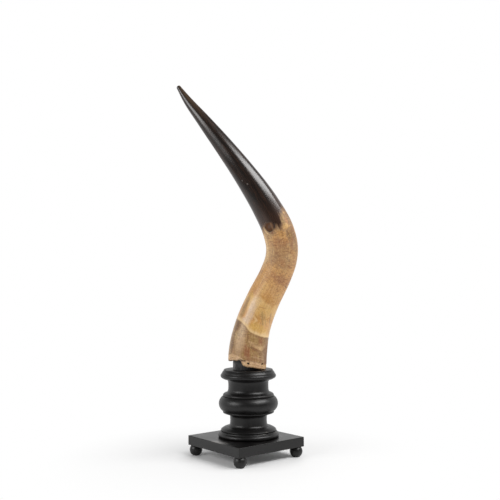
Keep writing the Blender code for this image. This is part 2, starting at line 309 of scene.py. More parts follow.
class HornSettings(bpy.types.PropertyGroup):
    """Sizes and colours of the horn and its peg"""

    tip_rounding: length_value("Tip rounding", 0.0028, "Length of the horn's rounded end")
    rim_middle: length_value("Rim height", 0.0064, "Height of the mouth's cut at its middle")
    waver: length_value("Waver", 0.00022, "How far the scraped surface strays from true")
    peg_radius: length_value("Peg radius", 0.0235, "Radius of the whittled peg at the cap")
    peg_top_radius: length_value("Peg top radius", 0.0205, "Radius of the peg's hidden end")
    black: colour_value("Black horn", "160e09", "Dark core of the polished upper part")
    smoke: colour_value("Smoky horn", "41291c", "Paler veins in the dark part")
    tip: colour_value("Brown tip", "5a4836", "Browner end of the dark part")
    knot: colour_value("Knot", "56300a", "Brown knot on the border")
    knot_middle: colour_value("Knot middle", "5e463a", "Greyer middle of the knot")
    knot_ring: colour_value("Knot ring", "1e0d05", "Dark ring round the knot")
    umber: colour_value("Umber", "6b4a30", "Fringe of the dark part")
    tan: colour_value("Tan", "b08456", "Ground colour of the bend")
    rose: colour_value("Rose tan", "ab7549", "Reddish clouds in the bend")
    ochre: colour_value("Ochre", "c18a42", "Warm clouds and streaks")
    honey: colour_value("Honey", "cb975a", "Ground colour below the bend")
    gold: colour_value("Gold", "d6aa66", "Ground colour above the growth line")
    mustard: colour_value("Mustard", "cda04a", "Yellow clouds above the growth line")
    cream: colour_value("Cream", "e0bd88", "Palest streaks and the growth line")
    # Painted highlight: a pale tint laid where the left lamp's highlight falls above the growth
    # line
    painted_highlight: colour_value("Milky bloom", "d6bb9f", "Milky sheen above the growth line")
    wheat: colour_value("Wheat", "c9a678", "Pale strip on the inside of the bend")
    # Putty also paints the left lamp's highlight as a strip near the mouth
    putty: colour_value("Putty", "b29270", "Greyish strip near the mouth")
    sage: colour_value("Sage", "ad9468", "Greenish clouds near the mouth")
    scuff_and_sheen: colour_value("Scuff", "8b847e", "Scuffs in the dark part")
    ash: colour_value("Ash", "8e6e50", "Greyish patches")
    bark: colour_value("Bark", "9a724c", "Ground colour below the growth line")
    rust: colour_value("Rust", "8a5231", "Reddish spots")
    olive: colour_value("Olive", "9a7a46", "Greenish patches")
    moss: colour_value("Moss", "765829", "Dark patches near the mouth")
    chip: colour_value("Chipped horn", "d4b18a", "Flaked band round the mouth")
    # Painted shade inside the nail holes
    hole: colour_value("Nail hole", "28160a", "Inside of the nail holes")


class StandSettings(bpy.types.PropertyGroup):
    """Sizes and colours of the stand"""

    board_edge: length_value("Board edge", 0.0007, "Rounding of the square board's edges")
    moulding_edge: length_value("Moulding edge", 0.00022, "Rounding of the mouldings' corners")
    foot_radius: length_value("Foot radius", 0.010, "Radius of a ball foot")
    foot_middle: length_value("Foot middle", 0.0087, "Height of a ball foot's middle")
    black: colour_value("Black stain", "080707", "Satin black stain on the wood")
    worn: colour_value("Worn stain", "262220", "Stain rubbed thin on the edges")
    rubbed: colour_value("Rubbed edge", "5b554f", "Stain rubbed off the sharpest edges")
    # Pale patch on the board's top: a painted sheen that stands in for reflected light
    scuff_and_sheen: colour_value("Scuff", "9c9894", "Pale scuff on the board")
    peg: colour_value("Peg", "242325", "Rough grey-black of the peg")
    # Painted highlight: the paler band on the peg's left stands in for light on that facet
    peg_facet_highlight: colour_value("Peg facet", "686666", "Paler cut on the peg's left")
    peg_grain: colour_value("Peg grain", "5d5a58", "Pale grain of the peg")
    # Painted shade on the peg close under the horn's rim
    peg_shade: colour_value("Peg shade", "050404", "Peg close under the horn")


class StudioSettings(bpy.types.PropertyGroup):
    """Camera, lights and floor"""

    camera_distance: length_value("Camera distance", 1.197, "From the column to the camera")
    camera_height: length_value("Camera height", 0.2667, "Above the ground")
    camera_side: length_value("Camera side step", 0.0039, "To the right of the column")
    camera_pitch: angle_value("Camera pitch", radians(2.77), "Upward tilt of the camera")
    camera_roll: angle_value("Camera roll", -0.0058, "Turn about the view")
    lens: bpy.props.FloatProperty(
        name="Lens", description="Focal length on a 36 mm sensor", default=54, unit="CAMERA")
    floor_radius: length_value("Floor radius", 0.9, "Radius of the pale floor")
    floor_colour: colour_value("Floor", "efefef", "Pale floor")
    left_strength: strength_value("Left softbox", 6.6, "Radiance of the left softbox")
    right_strength: strength_value("Right softbox", 11.0, "Radiance of the right softbox")


class Value:
    """A shader socket. Sums, differences, products and quotients of values add Math nodes."""

    def __init__(self, finish, socket):
        self.finish = finish
        self.socket = socket

    def joined(self, operation, first, second):
        return self.finish.node("Math", {0: first, 1: second}, operation=operation)

    def __add__(self, other):
        return self.joined("ADD", self, other)

    def __sub__(self, other):
        return self.joined("SUBTRACT", self, other)

    def __rsub__(self, other):
        return self.joined("SUBTRACT", other, self)

    def __mul__(self, other):
        return self.joined("MULTIPLY", self, other)

    def __truediv__(self, other):
        return self.joined("DIVIDE", self, other)

    def __pow__(self, other):
        return self.joined("POWER", self, other)

    def clamped(self):
        """From 0 to 1. Two nodes, as Cycles runs out of stack with the node's own clamp."""
        return self.joined("MINIMUM", self.joined("MAXIMUM", self, 0), 1)

    __radd__ = __add__
    __rmul__ = __mul__


class Finish:
    """A material, or the world, whose nodes are made from Python."""

    def __init__(self, owner, colours=None):
        self.owner = owner
        self.colours = colours
        owner.use_nodes = True
        self.tree = owner.node_tree
        self.tree.nodes.clear()

    def node(self, kind, inputs, output=0, **options):
        """Add a node, set it up, fill its sockets with values or links, and return one output."""
        made = self.tree.nodes.new("ShaderNode" + kind)
        for name, value in options.items():
            setattr(made, name, value)
        for name, value in inputs.items():
            if isinstance(value, Value):
                self.tree.links.new(value.socket, made.inputs[name])
            else:
                made.inputs[name].default_value = value
        return Value(self, made.outputs[output]) if made.outputs else made

    def ramp(self, factor, stops, interpolation="LINEAR"):
        """Colour ramp through (place, colour) stops."""
        value = self.node("ValToRGB", {"Fac": factor})
        ramp = value.socket.node.color_ramp
        ramp.interpolation = interpolation
        ramp.elements.remove(ramp.elements[-1])
        for count, (place, colour) in enumerate(stops):
            stop = ramp.elements.new(place) if count else ramp.elements[0]
            stop.position = place
            stop.color = (*colour, 1)
        return value

    def mix(self, factor, first, second):
        """Mix two colours, each a socket or a linear colour."""
        first, second = [side if isinstance(side, Value) else (*side, 1)
                         for side in (first, second)]
        return self.node("Mix", {0: factor, 6: first, 7: second}, 2, data_type="RGBA")

    def between(self, value, low, high):
        """0 below low, 1 above high, and smooth between them. Low may be the greater."""
        return self.node("MapRange", {"Value": value, "From Min": low, "From Max": high},
                         interpolation_type="SMOOTHSTEP")

    def layered(self, ground, *layers):
        """Lay named colours on the ground, each as its value goes from low to high."""
        for value, low, high, strength, name in layers:
            factor = self.between(value, low, high) * strength
            ground = self.mix(factor, ground, getattr(self.colours, name))
        return ground

    def noise(self, place, size, detail, roughness=0.6):
        """Noise at the place, with each axis multiplied by its own number."""
        place = self.node("VectorMath", {0: place, 1: size}, operation="MULTIPLY")
        return self.node("TexNoise", {"Vector": place, "Scale": 1, "Detail": detail,
                                      "Roughness": roughness})

    def place(self, output="Object"):
        return self.node("TexCoord", {}, output)

    def part(self, vector, axis):
        return self.node("SeparateXYZ", {0: vector}, axis)

    def dot(self, vector, way):
        return self.node("VectorMath", {0: vector, 1: way}, "Value", operation="DOT_PRODUCT")

    def surface(self, colour, roughness, ior, relief, depth, strength):
        """Principled surface with a bump, joined to the output."""
        normal = self.node("Bump", {"Height": relief, "Distance": depth, "Strength": strength})
        shader = self.node("BsdfPrincipled", {"Base Color": colour, "Roughness": roughness,
                                              "IOR": ior, "Normal": normal})
        self.node("OutputMaterial", {"Surface": shader})
        return self.owner


class Pattern(Finish):
    """A node group that lays one kind of mark on a ground colour."""

    SHARED = ("Degrees", "Up", "Ragged", "Strength")

    def __init__(self, name, labels):
        self.tree = bpy.data.node_groups.new(name, "ShaderNodeTree")
        sockets = dict.fromkeys(("Ground", "Colour"), "NodeSocketColor")
        sockets.update(dict.fromkeys(self.SHARED + labels, "NodeSocketFloat"))
        for label, kind in sockets.items():
            self.tree.interface.new_socket(label, in_out="INPUT", socket_type=kind)
        self.tree.interface.new_socket("Result", in_out="OUTPUT", socket_type="NodeSocketColor")
        entry = self.tree.nodes.new("NodeGroupInput")
        self.given = [Value(self, entry.outputs[label]) for label in sockets]

    def give(self, result):
        ending = self.tree.nodes.new("NodeGroupOutput")
        self.tree.links.new(result.socket, ending.inputs["Result"])
        return self.tree


def stain_pattern():
    """Soft ragged oval."""
    f = Pattern("stain", STAIN_LABELS)
    ground, colour, degrees, up, ragged, strength, middle, height, wide, tall = f.given
    across = (degrees - middle) / wide
    rise = (up - height) / tall
    away = (across * across + rise * rise) ** 0.5 + ragged
    return f.give(f.mix(f.between(away, 1.55, 0.45) * strength, ground, colour))


def stroke_pattern():
    """Thin ragged line between two places."""
    f = Pattern("stroke", STROKE_LABELS)
    ground, colour, degrees, up, ragged, strength, left, low, right, high, wide = f.given
    run = (right - left) * DEGREE_WIDTH
    rise = high - low
    across = (degrees - left) * DEGREE_WIDTH
    climb = up - low
    share = ((across * run + climb * rise) / (run * run + rise * rise)).clamped()
    side = across - share * run
    over = climb - share * rise
    away = (side * side + over * over) ** 0.5 / wide + ragged
    return f.give(f.mix(f.between(away, 1.7, 0.5) * strength, ground, colour))


def through_stations(column, heights):
    """Smooth curve through one column of the horn's stations, read at the heights."""
    known, values = HORN_STATIONS[:, 0], HORN_STATIONS[:, column]
    slopes = np.gradient(values, known)
    left = np.clip(np.searchsorted(known, heights) - 1, 0, len(known) - 2)
    step = known[left + 1] - known[left]
    part = (heights - known[left]) / step
    ahead = part * part * (3 - 2 * part)
    pull = part * (1 - part) * step * (slopes[left] * (1 - part) - slopes[left + 1] * part)
    return values[left] * (1 - ahead) + values[left + 1] * ahead + pull


class Centreline:
    """The horn's curved middle line, with lengths measured up it from the mouth."""

    def __init__(self):
        heights = np.linspace(HORN_STATIONS[0][0], HORN_STATIONS[-1][0], 1200)
        self.points = np.column_stack([through_stations(1, heights),
                                       through_stations(2, heights), heights])
        self.radii = through_stations(3, heights)
        steps = np.linalg.norm(np.diff(self.points, axis=0), axis=1)
        self.lengths = np.concatenate([[0], np.cumsum(steps)])
        tangents = np.gradient(self.points, self.lengths, axis=0)
        self.tangents = tangents / np.linalg.norm(tangents, axis=1)[:, None]
        self.length = self.lengths[-1]

    def read(self, table, lengths):
        return np.column_stack([np.interp(lengths, self.lengths, table[:, axis])
                                for axis in range(3)])

    def radius(self, lengths):
        return np.interp(lengths, self.lengths, self.radii)

    def bend(self, straight):
        """Move points of the straight horn to their places on the curved one."""
        centre = self.read(self.points, straight[:, 2])
        tangent = self.read(self.tangents, straight[:, 2])
        tangent /= np.linalg.norm(tangent, axis=1)[:, None]
        # Shortest turn from straight up to the tangent
        x, y, up = tangent.T
        share = 1 / (1 + up)
        side = np.column_stack([1 - x * x * share, -x * y * share, -x])
        front = np.column_stack([-x * y * share, 1 - y * y * share, -y])
        return centre + straight[:, :1] * side + straight[:, 1:2] * front


def spun(profile, sides):
    """Solid of revolution about Z from (radius, height) points that start and end on the axis."""
    bm = bmesh.new()
    points = [bm.verts.new((radius, 0, height)) for radius, height in profile]
    edges = [bm.edges.new(pair) for pair in zip(points, points[1:])]
    bmesh.ops.spin(bm, geom=points + edges, cent=(0, 0, 0), axis=(0, 0, 1), angle=2 * pi,
                   steps=sides, use_merge=True)
    bmesh.ops.remove_doubles(bm, verts=bm.verts, dist=0.000004)
    bmesh.ops.recalc_face_normals(bm, faces=bm.faces)
    return bm


def bow(start, end, bulge, steps):
    """Points of an arc from start to end that stands out to the right of its chord by the bulge."""
    start = Vector(start)
    end = Vector(end)
    chord = end - start
    half = chord.length / 2
    radius = (half * half + bulge * bulge) / (2 * bulge)
    right = Vector((chord.y, -chord.x)).normalized()
    centre = (start + end) / 2 + right * (bulge - radius)
    first = atan2(start.y - centre.y, start.x - centre.x)
    last = atan2(end.y - centre.y, end.x - centre.x)
    turn = (last - first + pi) % (2 * pi) - pi
    angles = [first + turn * step / steps for step in range(steps + 1)]
    reach = abs(radius)
    return [(centre.x + reach * cos(angle), centre.y + reach * sin(angle)) for angle in angles]


def soften(bm, angle, size):
    """Round every edge that is sharper than the angle."""
    sharp = [edge for edge in bm.edges
             if len(edge.link_faces) == 2 and edge.calc_face_angle(0) > angle]
    bmesh.ops.bevel(bm, geom=sharp, affect="EDGES", offset=size, segments=3, profile=0.5,
                    material=-1, clamp_overlap=True)


def linked(name, data):
    made = bpy.data.objects.new(name, data)
    bpy.context.scene.collection.objects.link(made)
    return made


def add_piece(name, bm, finish, node, place=Matrix.Identity(4), sharp=radians(50)):
    """Make the piece that stands for a node of the frame, with its place in its mesh."""
    mesh = bpy.data.meshes.new(name)
    bm.transform(place)
    bm.to_mesh(mesh)
    bm.free()
    mesh.shade_smooth()
    mesh.set_sharp_from_angle(angle=sharp)
    mesh.materials.append(finish)
    piece = linked(name, mesh)
    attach(piece, ROOT)
    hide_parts(node)
    return piece


def read_round(table, degrees):
    """A value in mm read from (degrees round, mm) pairs, in metres."""
    places, values = zip(*table)
    return np.interp(degrees, places, values) / 1000


def horn_profile(line, rounding):
    """(radius, length) points of the straight horn: up the hollow, over the rim, to the tip."""
    depths, radii = zip(*HOLLOW)
    inner = np.arange(depths[-1], 0.0005, -HOLLOW_STEP)
    inside = [(float(np.interp(depth, depths, radii)), float(depth)) for depth in inner]
    wall = line.radius(0.0) - radii[0]
    lip = [(radii[0] + wall * share, 0.0) for share in WALL_SHARES]
    neck = line.length - rounding
    starts = [start for start, _ in RING_STEPS[1:]] + [neck]
    lengths = np.concatenate([np.arange(start, end - step / 2, step)
                              for (start, step), end in zip(RING_STEPS, starts)])
    outside = [(float(line.radius(length)), float(length)) for length in lengths]
    wide = float(line.radius(neck))
    tip = [(wide * cos(radians(angle)), neck + rounding * sin(radians(angle)))
           for angle in range(0, 90, 10)]
    return inside + lip + outside + tip + [(0, line.length)]


def wander(points, name):
    """Soft noise at points in mm, by its name in the table."""
    (across, along), seed, size = WANDERS[name]
    return size * np.array([noise.noise((x * across + seed, y * across + seed, z * along - seed))
                            for x, y, z in points])


def drill(bm, line_radius):
    """Cut the mesh finer round each nail hole, so that the hole can be pressed in."""
    for degrees, up, size in NAIL_HOLES:
        angle = radians(degrees)
        spot = Vector((line_radius * sin(angle), -line_radius * cos(angle), up / 1000))
        for reach in DRILL_REACHES:
            near = [face for face in bm.faces
                    if (face.calc_center_median() - spot).length < reach
                    and face.calc_center_median().xy.length > line_radius - DRILL_DEPTH]
            edges = list({edge for face in near for edge in face.edges})
            bmesh.ops.subdivide_edges(bm, edges=edges, cuts=1, use_grid_fill=True)


def shape_horn(bm, line, settings):
    """Break the rim, flake the band above it, press in the nail holes and bend the horn."""
    mesh = bpy.data.meshes.new("horn")
    bm.to_mesh(mesh)
    bm.free()
    flat = np.zeros(len(mesh.vertices) * 3)
    mesh.vertices.foreach_get("co", flat)
    straight = flat.reshape(-1, 3)
    places = straight * 1000
    around = np.degrees(np.arctan2(straight[:, 0], -straight[:, 1]))
    reach = np.linalg.norm(straight[:, :2], axis=1)
    along = straight[:, 2].copy()
    full = line.radius(np.clip(along, 0, line.length))
    outer = np.clip((reach - full + OUTER_DEPTH) / OUTER_FADE, 0, 1)
    outer[along > HOLLOW[-1][0]] = 1

    edge = read_round(RIM_EDGE, around) + wander(places, "ragged") + (1 - outer) * INNER_LIFT
    fade = np.clip(1 - along / CHIP_BLEND, 0, 1)
    up = along + fade * edge

    above = up - edge
    band = read_round(FLAKED_BAND, around) + wander(places, "band")
    flaked = np.clip((band - above) / BAND_FADE, 0, 1) * outer
    rough = wander(places, "lumps") + wander(places, "grit")
    low = np.clip(1 - along / RINGS_END, 0, 1)
    push = settings.waver * wander(places, "waver") * outer + wander(places, "rings") * low * outer
    push += flaked * (rough - FLAKE_DEPTH)
    lip = np.clip(1 - above / LIP_HEIGHT, 0, 1) ** 2
    push -= lip * outer * LIP_INSET

    pressed = np.zeros(len(reach))
    for degrees, height, size in NAIL_HOLES:
        arc = np.radians(around - degrees) * full
        away = np.hypot(arc, up - height / 1000) * 1000
        hole = np.clip((size - away) / HOLE_FADE + 0.5, 0, 1) * (outer > 0.9)
        pressed = np.maximum(pressed, hole)
        push -= hole * NAIL_DEPTH

    factor = (reach + push) / np.maximum(reach, 1e-9)
    straight[:, 0] *= factor
    straight[:, 1] *= factor
    straight[:, 2] = up
    laid = straight.copy()
    tilt = np.clip(1 - up / RIM_BLEND, 0, 1)
    straight[:, 2] = up + tilt * (settings.rim_middle - RIM_SLANT * straight[:, 0])
    bent = line.bend(straight)
    mesh.vertices.foreach_set("co", bent.astype(np.float32).ravel())
    store(mesh, "straight", laid * 1000)
    marks = np.column_stack([flaked, pressed, 1 - outer])
    store(mesh, "marks", marks)
    return mesh


def store(mesh, name, vectors):
    made = mesh.attributes.new(name, "FLOAT_VECTOR", "POINT")
    made.data.foreach_set("vector", np.asarray(vectors, np.float32).ravel())


class HornFinish(Finish):
    """Polished horn. Its places are degrees round from the viewer and mm up the straight horn."""

    # Each line is (degrees round, mm up) pairs: the growth line, the pale fold below it and
    # the border of the dark part
    GROWTH = ((-180, 66), (-120, 72), (-90, 73.5), (-48, 73), (-30, 70.5), (-17, 66.5), (-8, 63),
              (2, 61.2), (14, 60), (30, 58.6), (60, 57.6), (90, 57), (130, 60), (180, 66))
    FOLD = ((-180, 48), (-90, 48), (-20, 48), (-8, 46), (5, 42.5), (20, 38.5), (32, 36), (40, 35.5),
            (48, 37), (58, 40), (75, 43), (120, 48), (180, 48))
    BORDER = ((-180, 250), (-150, 246), (-120, 240), (-90, 240), (-60, 246), (-45, 249),
              (-27, 249), (-17, 245), (-9, 240), (0, 238.5), (8, 239), (16, 238), (20, 244),
              (24, 252), (34, 254), (42, 256), (50, 259), (60, 259), (90, 262), (120, 264),
              (150, 256), (180, 250))
    # Noises: scale per mm across the horn and along it, and detail
    NOISES = {
        "fibres": (0.55, 0.032, 5), "threads": (1.7, 0.10, 4), "clouds": (0.085, 0.045, 3),
        "patches": (0.17, 0.12, 4), "specks": (0.60, 0.34, 3), "ripples": (0.16, 0.62, 4),
        "rings": (0.035, 0.30, 3),
    }

    def __init__(self, colours):
        super().__init__(bpy.data.materials.new("polished_horn"), colours)
        place = self.attribute("straight")
        x, y, self.up = self.parts(place)
        self.flaked, self.pressed, self.inside = self.parts(self.attribute("marks"))
        around = self.node("Math", {0: x, 1: y * -1}, operation="ARCTAN2")
        self.turn = around / (2 * pi) + 0.5
        self.degrees = around * (180 / pi)
        for name, (across, along, detail) in self.NOISES.items():
            setattr(self, name, self.noise(place, (across, across, along), detail))
        self.shifted = self.up + (self.clouds - 0.5) * 16
        self.ragged = (self.patches - 0.5) * 1.3 + (self.threads - 0.5) * 0.5
        self.nudged = self.up + (self.patches - 0.5) * 3
        self.frayed = (self.threads - 0.5) * 2.5
        self.stain = stain_pattern()
        self.stroke = stroke_pattern()

    def attribute(self, name):
        return self.node("Attribute", {}, "Vector", attribute_name=name)

    def parts(self, vector):
        return [self.part(vector, axis) for axis in "XYZ"]

    def line(self, stops, low, high, smooth="B_SPLINE"):
        """Height in mm of a line round the horn, whose stops lie from low to high."""
        greys = [(degrees / 360 + 0.5, [(height - low) / (high - low)] * 3)
                 for degrees, height in stops]
        return self.ramp(self.turn, greys, smooth) * (high - low) + low

    def marked(self, ground, marks, pattern, labels, up, ragged):
        """Lay a table of marks on the ground colour, each with a node group."""
        for *numbers, name, strength in marks:
            ground = self.node("Group", {
                "Ground": ground, "Colour": (*getattr(self.colours, name), 1), "Up": up,
                "Degrees": self.degrees, "Ragged": ragged, "Strength": strength,
                **dict(zip(labels, numbers))}, node_tree=pattern)
        return ground

    def stained(self, ground, stains):
        return self.marked(ground, stains, self.stain, STAIN_LABELS, self.shifted, self.ragged)

    def stroked(self, ground, strokes):
        return self.marked(ground, strokes, self.stroke, STROKE_LABELS, self.nudged, self.frayed)

    def pale_horn(self):
        """Bands of gold, honey and tan above the growth line, with stains, a painted highlight and
        fine flecks.
        """
        low, high = GROUND_BANDS[0][0], GROUND_BANDS[-1][0]
        level = self.up + (self.clouds - 0.5) * 26 + (self.patches - 0.5) * 18
        stops = [((height - low) / (high - low), getattr(self.colours, name))
                 for height, name in GROUND_BANDS]
        bend = self.between(self.up, 112, 165)
        crackle = self.threads * 0.5 + self.ripples * 0.5
        return self.layered(
            self.stained(self.ramp((level - low) / (high - low), stops), PALE_STAINS),
            (self.specks, 0.52, 0.62, bend * 0.30 + 0.18, "ash"),
            (self.specks, 0.46, 0.36, 0.38, "cream"),
            (self.ripples, 0.53, 0.61, bend * 0.28 + 0.16, "rust"),
            (self.ripples, 0.46, 0.38, bend * 0.12 + 0.20, "gold"),
            (crackle, 0.54, 0.60, bend * 0.26 + 0.10, "umber"))

    def low_horn(self, over):
        """Browner horn under the growth line, with a pale chevron across its front and a painted
        highlight strip on its left.
        """
        ground = self.layered(self.colours.bark, (self.patches, 0.36, 0.66, 1, "olive"))
        fold = self.up - self.line(self.FOLD, 20, 60) + (self.patches - 0.5) * 7
        fold = fold + (self.threads - 0.5) * 2
        front = self.between(self.degrees, -14, 4) * self.between(self.degrees, 74, 52)
        right = self.between(self.degrees + (self.patches - 0.5) * 20, 42, 62)
        self.worn = right * self.between(self.degrees, 110, 90) * self.between(self.up, 58, 38)
        ground = self.layered(
            self.stained(ground, LOW_STAINS),
            (fold, -3.6, -0.4, self.between(fold, 6.5, 0.4) * front * 0.60, "wheat"),
            (fold, -9.5, -5.5, self.between(fold, -2.2, -4.8) * front * 0.55, "umber"),
            (self.rings, 0.52, 0.60, 0.22, "umber"),
            (self.rings, 0.47, 0.39, 0.22, "wheat"),
            (self.specks, 0.53, 0.62, 0.35, "umber"),
            (self.specks, 0.46, 0.37, 0.28, "wheat"),
            (self.threads, 0.54, 0.64, 0.20, "rust"))
        ground = self.mix(self.worn * 0.7, ground, self.colours.umber)
        return self.layered(ground, (over, -4, -0.5, 0.35, "moss"))

    def dark_horn(self):
        """Black core with smoky veins, browner towards the tip."""
        ground = self.layered(
            self.colours.black, (self.fibres, 0.46, 0.62, 0.5, "smoke"),
            (self.up, 425, 500, self.between(self.degrees, -20, 10) * 0.45, "tip"))
        return self.stained(ground, DARK_STAINS)

    def knot(self, ground):
        """Round brown knot that sits on the border in front, greyer in its middle."""
        across = (self.degrees - KNOT_DEGREES) / KNOT_WIDE
        rise = (self.up - KNOT_UP) / KNOT_TALL - across * 0.1
        away = (across * across + rise * rise) ** 0.5
        away = away + (self.threads - 0.5) * 0.6 + (self.patches - 0.5) * 0.9
        self.dull = self.between(away, 1.15, 0.85)
        middle = self.between(rise, -0.6, 0.2) * 0.8
        brown = self.layered(self.colours.knot,
                             (away - across * 0.25, 0.72, 0.30, middle, "knot_middle"))
        ground = self.layered(ground, (away, 1.20, 0.95, 0.85, "knot_ring"))
        ground = self.mix(self.between(away - rise * 0.12, 1.02, 0.74) * 0.9, ground, brown)
        return self.stroked(ground, KNOT_STROKES)

    def broken_rim(self, ground):
        """Flaked band, its cracks, painted shadow along its lower edge, the raw wall inside and the
        nail holes painted dark as shade.
        """
        left = self.between(self.fibres, 0.44, 0.58) * 0.3
        raw = self.layered(
            self.colours.chip, (self.patches, 0.42, 0.58, 1, "wheat"),
            (self.specks, 0.51, 0.60, 0.6, "bark"), (self.ripples, 0.54, 0.62, 0.5, "rust"),
            (self.degrees, -28, -44, left, "bark"))
        ground = self.stroked(self.mix(self.flaked * 0.92, ground, raw), RIM_STROKES)
        ground = self.mix(self.inside * 0.8, ground, self.colours.bark)
        # The nail holes are painted dark brown as shade in their depth
        return self.layered(ground, (self.pressed, 0.10, 0.55, 1, "hole"))

    def finish(self):
        growth = self.line(self.GROWTH, 50, 80)
        over = self.up - growth + (self.threads - 0.5) * 1.8 + (self.patches - 0.5) * 2.0
        ground = self.layered(self.pale_horn(), (over, 6.5, 2.0, 0.8, "cream"))
        ground = self.mix(self.between(over, 1.2, -1.2), ground, self.low_horn(over))
        ground = self.layered(ground, (self.fibres, 0.52, 0.62, 0.26, "bark"),
                              (self.fibres, 0.47, 0.37, 0.22, "cream"))

        border = self.line(self.BORDER, 220, 290, "LINEAR")
        above = self.up - border + (self.fibres - 0.5) * 26 + (self.threads - 0.5) * 14
        ground = self.layered(self.stroked(ground, STROKES), (above, -9, 0, 0.6, "umber"))
        black = self.between(above, -3, 5)
        haze = self.layered(self.dark_horn(), (above, 50, 0, 0.55, "smoke"))
        ground = self.broken_rim(self.knot(self.mix(black, ground, haze)))

        gloss = 0.33 + self.between(self.up, 105, 135) * 0.17 + (self.specks - 0.5) * 0.2
        gloss = gloss + black * (0.27 - gloss)
        gloss = gloss + self.flaked * 0.25 + self.inside * 0.3 + self.dull * 0.4 + self.worn * 0.3
        # The left of the upper part is duller, and its tip end less so
        left = self.between(self.degrees, -2, -16) * self.between(self.up, 345, 385)
        gloss = gloss + left * self.between(self.up, 450, 415) * 0.16
        relief = self.fibres * 0.3 + self.threads * 0.25 + self.specks * 0.4
        relief = relief * (1 - black * 0.96) + self.flaked * self.specks * 2.5
        return self.surface(ground, gloss, HORN_IOR, relief, 0.00022, 0.35)


def peg_finish(colours):
    """Rough whittled wood stained grey-black, with a painted highlight on its left and painted
    shade close under the horn.
    """
    f = Finish(bpy.data.materials.new("whittled_wood"), colours)
    place = f.place()
    grain = f.noise(place, (900, 900, 90), 4)
    blotch = f.noise(place, (160, 160, 120), 3)
    side = f.dot(place, VIEW_LEFT) + (blotch - 0.5) * 0.006
    height = f.part(place, "Z") + blotch * 0.002
    stained = f.layered(
        colours.black, (blotch, 0.38, 0.66, 1, "peg"),
        # A paler band on the peg's left, towards the viewer, is a painted highlight
        (side, 0.0095, 0.0125, f.between(side, 0.0190, 0.0165) * 0.55, "peg_facet_highlight"),
        (grain, 0.55, 0.72, 0.5, "peg_grain"),
        # The top of the peg is darkened as painted shade under the horn's rim
        (height, CAP_TOP + 0.0100, CAP_TOP + 0.0130, 1, "peg_shade"))
    return f.surface(stained, 0.38 + grain * 0.3, PEG_IOR, grain + blotch, 0.0006, 0.7)


def stain_finish(name, colours, along, sheen=0.33, painted_sheen=0.0):
    """Satin black stain over wood whose grain runs along one axis, with a pale patch painted on the
    board's top as a sheen.
    """
    f = Finish(bpy.data.materials.new(name), colours)
    place = f.place()
    size = [GRAIN_ALONG if axis == along else GRAIN_ACROSS for axis in "XYZ"]
    grain = f.noise(place, size, 5)
    pores = f.noise(place, [value * 3.2 for value in size], 3)
    cloud = f.noise(place, (45, 45, 45), 3, 0.55)
    dust = f.noise(place, (1500, 1500, 1500), 2, 0.5)
    edges = f.node("NewGeometry", {}, "Pointiness")
    # Painted sheen: a pale patch on the board's top, towards the viewer's left, stands in for
    # reflected light
    across = (f.dot(place, VIEW_LEFT) - SHEEN_LEFT) / SHEEN_WIDE
    depth = (f.dot(place, VIEW_FRONT) - SHEEN_FRONT) / SHEEN_DEEP
    away = (across * across + depth * depth) ** 0.5 + (cloud - 0.5) * 1.6
    on_top = f.between(f.part(place, "Z"), PLATE_HIGH.z - 0.001, PLATE_HIGH.z - 0.0002)
    stained = f.layered(
        colours.black, (grain, 0.45, 0.75, 0.35, "worn"), (edges, 0.52, 0.58, 0.75, "rubbed"),
        (dust, 0.70, 0.78, 0.25, "worn"), (away, 1.15, 0.75, on_top * painted_sheen, "scuff_and_sheen"))
    gloss = sheen + cloud * 0.12 + f.between(grain, 0.5, 0.8) * 0.08
    relief = grain * 0.5 + pores * 0.35 + dust * 0.12
    return f.surface(stained, gloss, STAIN_IOR, relief, 0.00022, 0.35)


class OBJECT_OT_ox_horn(bpy.types.Operator):
    """Add the polished horn with its broken rim"""

    bl_idname = "object.ox_horn"
    bl_label = "Ox Horn"

    def execute(self, context):
        settings = context.scene.ox_horn
        line = Centreline()
        bm = spun(horn_profile(line, settings.tip_rounding), HORN_SIDES)
        drill(bm, HORN_STATIONS[0][3])
        shaped = shape_horn(bm, line, settings)
        bm = bmesh.new()
        bm.from_mesh(shaped)
        bpy.data.meshes.remove(shaped)
        add_piece("polished_horn", bm, HornFinish(settings).finish(), "horn",
                  HORN_AXES, sharp=radians(75))
        return {"FINISHED"}


class OBJECT_OT_horn_peg(bpy.types.Operator):
    """Add the whittled peg that fills the horn's mouth"""

    bl_idname = "object.horn_peg"
    bl_label = "Horn Peg"

    def execute(self, context):
        settings = context.scene.ox_horn
        base, top = settings.peg_radius, settings.peg_top_radius
        low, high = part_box("horn_peg")
        heights = np.linspace(low.z, high.z, PEG_RINGS)
        shares = np.clip((heights - PEG_TAPER_START) / (high.z - PEG_TAPER_START), 0, 1)
        profile = [(float(base + (top - base) * share), float(height))
                   for share, height in zip(shares, heights)]
        bm = spun([(0, float(low.z)), *profile, (0, float(high.z))], PEG_SIDES)
        for vert in bm.verts:
            reach = vert.co.xy.length
            if reach < PEG_CORE:
                continue
            angle = (np.degrees(atan2(vert.co.y, vert.co.x)) + vert.co.z * PEG_TWIST) % 360
            nearest = min(abs((angle - cut + 180) % 360 - 180) for cut in PEG_CUTS)
            facet = cos(PEG_FACET) / cos(min(radians(nearest), PEG_FACET))
            knife = noise.noise(Vector((vert.co.x * 210, vert.co.y * 210, vert.co.z * 120)))
            shaved = 1 - PEG_CUT * (1 - min(facet, 1))
            size = reach * shaved * (1 - PEG_KNIFE * abs(knife))
            vert.co.xy = vert.co.xy * (size / reach)
        add_piece("whittled_peg", bm, peg_finish(context.scene.ox_stand), "horn_peg",
                  spot("horn_peg"), sharp=radians(24))
        return {"FINISHED"}


